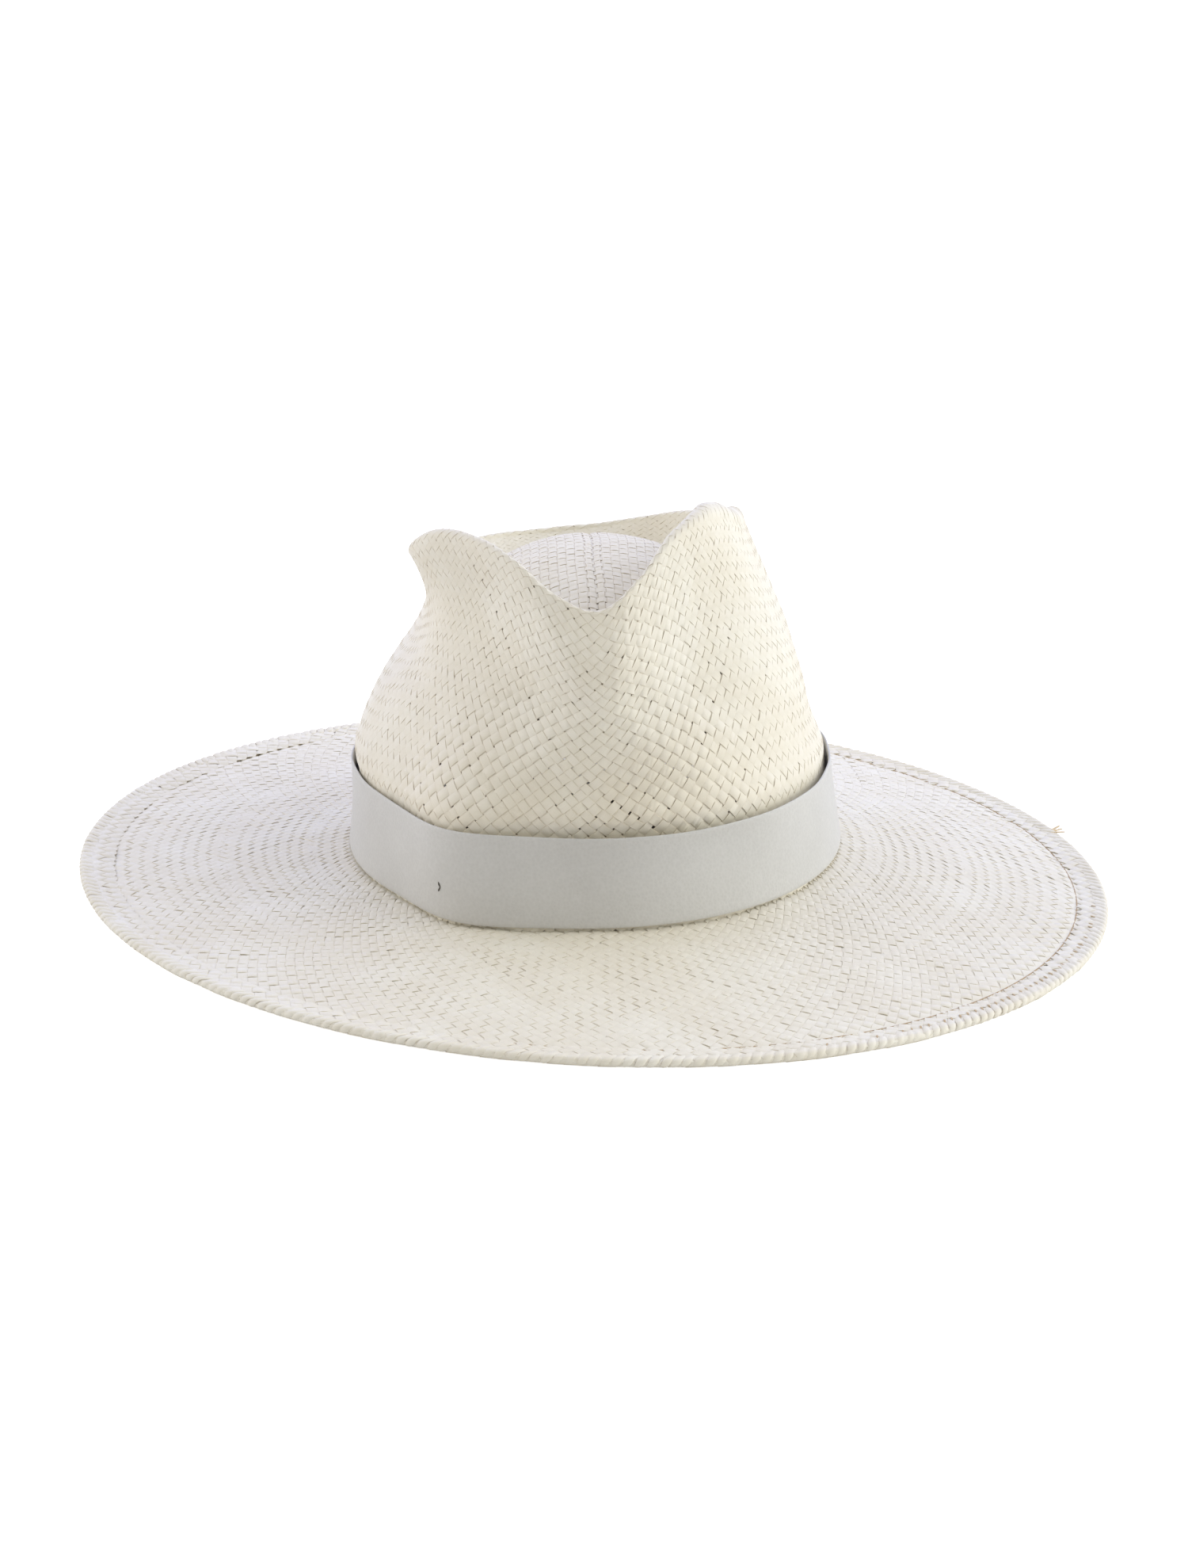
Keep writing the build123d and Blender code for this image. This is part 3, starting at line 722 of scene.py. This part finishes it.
CARRIED_OVER = {
    "brim_wire": fibre_material("spring_steel", (0.55, 0.56, 0.58), 0.35, 900.0, 1.0),
    "brim_wire_sleeve": fibre_material("brass", (0.72, 0.55, 0.28), 0.35, 900.0, 1.0),
    "sweatband_reed": fibre_material("reed", (0.62, 0.50, 0.33), 0.6),
    "sweatband_thread": PALE_THREAD,
    "sweatband_back_tape": fibre_material("grosgrain_tape", (0.66, 0.61, 0.52), 0.85, 1400.0),
    "size_label": fibre_material("label_cloth", (0.82, 0.80, 0.74), 0.9, 3200.0),
    "sweatband_bow": fibre_material("bow_ribbon", (0.10, 0.09, 0.08), 0.55, 1400.0),
}


# ---- Leather ----

def band_gap(angle, height):
    """Space between the straw and the leather, wider at the top, where the band stands off the crown."""
    rise = np.clip((height - BAND_BOTTOM) / (BAND_TOP - BAND_BOTTOM), 0, 1)
    stand = smooth_value(BAND_STAND_OFF, turned(angle, 0)) * rise ** 1.5
    wave = 0.22 * np.sin(np.radians(7 * angle) + 1) + 0.12 * np.sin(np.radians(17 * angle) + 3)
    return BAND_CLEARANCE + stand + wave * rise


def strap(name, bottom, top, thickness, offset, join, material, replaced, rounding=0.35):
    """Leather strap with softened edges round the crown's foot, its ends meeting at one angle."""
    angle = join + np.linspace(0.12, 359.88, 600)[:, None]
    up = bottom + (top - bottom) * (1 - np.cos(np.linspace(0, pi, 16))) / 2
    height = np.concatenate([up, up[::-1]])
    outer = np.repeat([1.0, 0.0], len(up))
    from_edge = np.minimum(height - bottom, top - height)
    softened = rounding / thickness * (1 - np.minimum(from_edge, 1.0)) ** 2
    share = np.where(outer > 0.5, 1 - softened, softened)
    radius = wall_radius(angle, height) + offset(angle, height) + thickness * share
    points = round_crown(angle, radius, height + 0 * angle)
    faces = ring_faces(1, points.shape[0], points.shape[1])
    return make_piece(name, points.reshape(-1, 3), faces, material, replaced, crease=50)


def sweat_offset(angle, height):
    """The sweatband hangs inside the straw and leans in a little towards its free edge."""
    rise = np.clip((height - SWEAT_BOTTOM) / (SWEAT_TOP - SWEAT_BOTTOM), 0, 1)
    lean = rise ** 2 * (0.9 + 0.5 * np.sin(np.radians(9 * angle)))
    return -BODY_THICKNESS - SWEAT_CLEARANCE - SWEAT_LEATHER - lean


def cord_rings(path, radius, up=UP, sides=THREAD_SIDES):
    """Rings of points round a path, with up as the cord's upper side."""
    ahead = unit(np.gradient(path, axis=0))
    side = unit(np.cross(ahead, np.array(up)))
    above = np.cross(side, ahead)
    turn = np.linspace(0, 2 * pi, sides, endpoint=False)[:, None]
    return path[:, None, :] + radius * (np.sin(turn) * above[:, None, :] - np.cos(turn) * side[:, None, :])


def hem_cord_and_step_shade():
    """Brown thread along the step where the folded hem ends on top of the brim, also painted shade of the
    step.
    """
    angle = np.linspace(0, 360, 1200, endpoint=False)
    path = brim_sheet(angle, BRIM_REACH - HEM_WIDTH + CORD_FROM_END)
    path[:, 2] += CORD_LIFT
    points = cord_rings(path, CORD_RADIUS, sides=CORD_SIDES)
    faces = ring_faces(1, len(points), CORD_SIDES, closed=True)
    make_piece("hem_sewing_and_step_shade", points.reshape(-1, 3), faces, BROWN_THREAD_AND_STEP_SHADE, ["hem_thread"])


def hem_gap_shade():
    """Slanted strips of painted shade in the gaps at the ends of the edge's straws, most at the hem's right
    front.
    """
    share = np.linspace(-1, 1, 7)
    rings = []
    for number in range(EDGE_STRAWS):
        angle = (number + 0.5 + EDGE_TURN + rng.normal(0, 0.1)) * 360 / EDGE_STRAWS
        if bump(turned(angle, GAP_SHADE_MIDDLE), 0, GAP_SHADE_SPREAD) < rng.uniform(0.1, 0.9):
            continue
        place = BRIM_REACH + EDGE_REACH[1] + 0.2 + GAP_SHADE_HALF_LENGTH * share
        middle = brim_sheet(angle + 0.25 * share, place)
        middle[:, 2] += GAP_SHADE_LIFT - 0.25 * share ** 2
        up = np.broadcast_to(UP, middle.shape)
        across = beside(middle[None], up) * GAP_SHADE_HALF_WIDTH * (1.1 - share ** 2)[None, :, None]
        rings.append(strip_points(middle[None], across, up[None], GAP_SHADE_HALF_THICKNESS)[0])
    faces = ring_faces(len(rings), len(share), len(LENS))
    make_piece("hem_gap_shade", np.array(rings).reshape(-1, 3), faces, GAP_SHADE_BROWN,
               ["hem_thread"])


def on_leather(angle, height, out):
    """Places on the outside of the hat band, moved out."""
    leather = wall_radius(angle, height) + band_gap(angle, height) + BAND_LEATHER
    return round_crown(angle, leather + out, height)


def leather_stitches(name, ends, radius, material, node):
    """Stitches sunk into the band's leather; each runs between two (angle, height) ends."""
    share = np.linspace(0, 1, 9)
    out = SUNK_ARCH * np.sin(pi * share) - SUNK_END
    rings = []
    for (angle, height), (last_angle, last_height) in ends:
        path = on_leather(angle + (last_angle - angle) * share, height + (last_height - height) * share, out)
        outward = unit(path[len(path) // 2] * np.array([1.0, 1.0, 0.0]))
        rings.append(cord_rings(path, radius, up=outward))
    faces = ring_faces(len(rings), len(share), THREAD_SIDES)
    make_piece(name, np.array(rings).reshape(-1, 3), faces, material, [node])


def sew_band():
    """Stitches over the band's meeting ends and the two thread tacks that keep it from turning."""
    join = [((BAND_JOIN - 1.3, height), (BAND_JOIN + 1.3, height + 0.8)) for height in JOIN_STITCH_HEIGHTS]
    leather_stitches("band_join_sewing", join, 0.3, PALE_THREAD, "band_join_stitches")
    for name, (angle, height) in (("band_tack_left", TACK_LEFT), ("band_tack_back", TACK_BACK)):
        strokes = [((angle - 0.2, height + 1.5), (angle + 0.35, height + 0.1)),
                   ((angle + 0.35, height + 0.1), (angle - 0.15, height - 1.5))]
        leather_stitches(f"{name}_thread", strokes, 0.26, DARK_THREAD, name)


# ---- Scene ----

CAMERA_ELEVATION = 17.9
CAMERA_AZIMUTH = -2.6
CAMERA_ROLL = 2.68
CAMERA_DISTANCE = 1.8
CAMERA_SHIFT = 0.0588
LENS_LENGTH = 115.7
SENSOR_WIDTH = 36


def build_camera():
    """Camera a little above the hat's front, turned and rolled slightly."""
    elevation, azimuth, roll = radians(CAMERA_ELEVATION), radians(CAMERA_AZIMUTH), radians(CAMERA_ROLL)
    back = Vector((sin(azimuth) * cos(elevation), -cos(azimuth) * cos(elevation), sin(elevation)))
    right = Vector((cos(azimuth), sin(azimuth), 0))
    up = back.cross(right)
    across = right * cos(roll) + up * sin(roll)
    above = up * cos(roll) - right * sin(roll)
    lens = bpy.data.cameras.new("camera")
    lens.lens = LENS_LENGTH
    lens.sensor_width = SENSOR_WIDTH
    lens.shift_y = CAMERA_SHIFT
    camera = bpy.data.objects.new("camera", lens)
    place = Matrix((across, above, back)).transposed().to_4x4()
    place.translation = back * CAMERA_DISTANCE
    camera.matrix_world = place
    bpy.context.scene.collection.objects.link(camera)
    bpy.context.scene.camera = camera


# Direction, spread (higher is narrower) and colour of each soft box in the sky
SKY = [
    ((1.0, -0.1, 0.35), 3.0, (2.78, 2.80, 2.66)),
    ((-1.0, 0.0, 0.35), 3.0, (1.96, 1.92, 1.82)),
    ((0.0, 1.0, 0.5), 2.0, (1.02, 1.12, 1.78)),
]
SKY_BASE = (0.02, 0.02, 0.02)


def build_sky():
    """Dark sky with soft boxes to the right and to the left, and a cooler one behind."""
    world = bpy.data.worlds.new("studio")
    world.use_nodes = True
    tree = world.node_tree
    add = node_adder(tree)
    direction = add("ShaderNodeTexCoord").outputs["Generated"]
    light = SKY_BASE
    for axis, spread, colour in SKY:
        middle = Vector(axis).normalized()
        facing = add("ShaderNodeVectorMath", {0: direction, 1: middle}, operation="DOT_PRODUCT")
        lit = maths(add, "MAXIMUM", facing.outputs["Value"], 0.0)
        lobe = maths(add, "POWER", lit, spread)
        box = add("ShaderNodeVectorMath", {0: colour, "Scale": lobe}, operation="SCALE")
        total = add("ShaderNodeVectorMath", {0: light, 1: box.outputs[0]}, operation="ADD")
        light = total.outputs[0]
    tree.links.new(light, tree.nodes["Background"].inputs["Color"])
    bpy.context.scene.world = world


FLOOR_SIZE = 12
# Tone of the floor for bounced light and for the camera; its glow, and how much more the camera sees
FLOOR_TONE = (0.78, 0.78, 0.78, 1)
FLOOR_TONE_SEEN = (0.95, 0.95, 0.95, 1)
FLOOR_GLOW = 0.10
FLOOR_GLOW_SEEN = 0.60
# Distances from the middle, in metres, where the glow starts and where it is full
GLOW_START = 0.11
GLOW_FULL = 0.16


def build_floor():
    """Wide pale floor that glows faintly as painted light, washing out the hat's shadow, except under the
    crown.
    """
    bpy.ops.mesh.primitive_plane_add(size=FLOOR_SIZE)
    floor = bpy.context.object
    floor.name = "floor"
    material, shader, add, links = node_material("pale_floor")
    seen = add("ShaderNodeLightPath").outputs["Is Camera Ray"]
    links.new(colour_mix(add, seen, FLOOR_TONE, FLOOR_TONE_SEEN), shader.inputs["Base Color"])
    shader.inputs["Roughness"].default_value = 0.9
    shader.inputs["Emission Color"].default_value = (1, 1, 1, 1)
    place = add("ShaderNodeTexCoord").outputs["Object"]
    away = add("ShaderNodeVectorMath", {0: place}, operation="LENGTH").outputs["Value"]
    open_floor = add("ShaderNodeMapRange", {"Value": away, 1: GLOW_START, 2: GLOW_FULL}).outputs[0]
    # Painted light: the floor glows, more so to the camera, which washes out the hat's shadow on it
    glow = maths(add, "MULTIPLY_ADD", seen, FLOOR_GLOW_SEEN, FLOOR_GLOW)
    links.new(maths(add, "MULTIPLY", glow, open_floor), shader.inputs["Emission Strength"])
    floor.data.materials.append(material)


bpy.context.scene.view_settings.view_transform = "Standard"
build_camera()
build_sky()
build_floor()
weave("crown_straws", crown_sheet, CROWN_STRAWS, 0.0, 1.0, crown_lift, crown_width,
      fold=(LIP_PLACE, LIP_SPREAD, 0.6), material=CROWN_STRAW, parts=2)
weave_dome()
for number, (straws, first, last, tucks) in enumerate(BRIM_ZONES, start=1):
    parts = 2 if number == len(BRIM_ZONES) else 1
    weave(f"brim_straws_{number}", brim_sheet, straws, first, last, brim_lift, brim_width,
          fold=(FOLD_PLACE, FOLD_SPREAD, 0.8), material=BRIM_STRAW, parts=parts, tucks=tucks)
plait_edge()
loose_end()
strap("hat_band_leather", BAND_BOTTOM, BAND_TOP, BAND_LEATHER, band_gap, BAND_JOIN, BAND,
      ["hat_band"])
strap("sweatband_leather", SWEAT_BOTTOM, SWEAT_TOP, SWEAT_LEATHER, sweat_offset, SWEAT_JOIN, SWEAT,
      ["sweatband"])
hem_cord_and_step_shade()
hem_gap_shade()
sew_band()
for node, material in CARRIED_OVER.items():
    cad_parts[node].data.materials.clear()
    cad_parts[node].data.materials.append(material)
